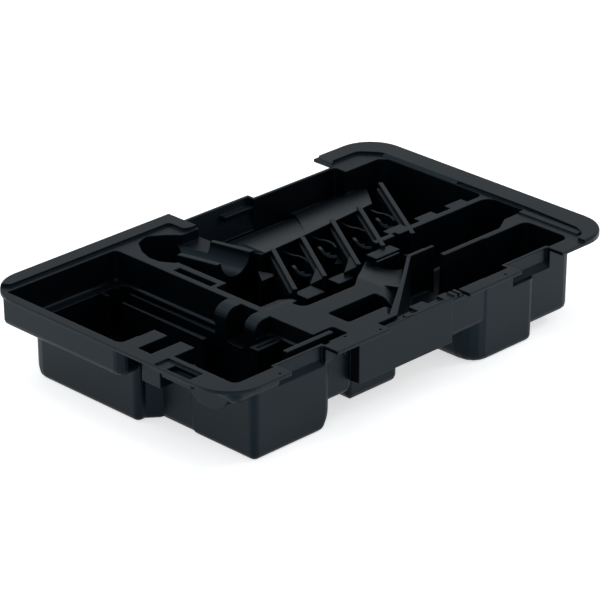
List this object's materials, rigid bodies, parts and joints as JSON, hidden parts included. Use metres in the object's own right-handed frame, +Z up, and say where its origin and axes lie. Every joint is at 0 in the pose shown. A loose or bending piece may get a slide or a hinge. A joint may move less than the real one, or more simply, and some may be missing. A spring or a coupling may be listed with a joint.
{
  "type": "tool case insert",
  "caption": "Thin moulded plastic tray that drops into a tool case, with drafted pockets, a rack of slanted ribs and a raised lip.",
  "frame": {"origin": "centre of the bounding box in plan, at the level of the pocket bottoms that the tray stands on", "axes": "+X along the tray's length to the right, +Y to the back edge, +Z up out of the pockets"},
  "size_m": [0.383, 0.2434, 0.065],
  "materials": {
    "black_plastic": "satin black moulded plastic, plain and unmarked"
  },
  "bodies": {
    "root": {"insert_tray": "black_plastic"}
  },
  "joints": []
}
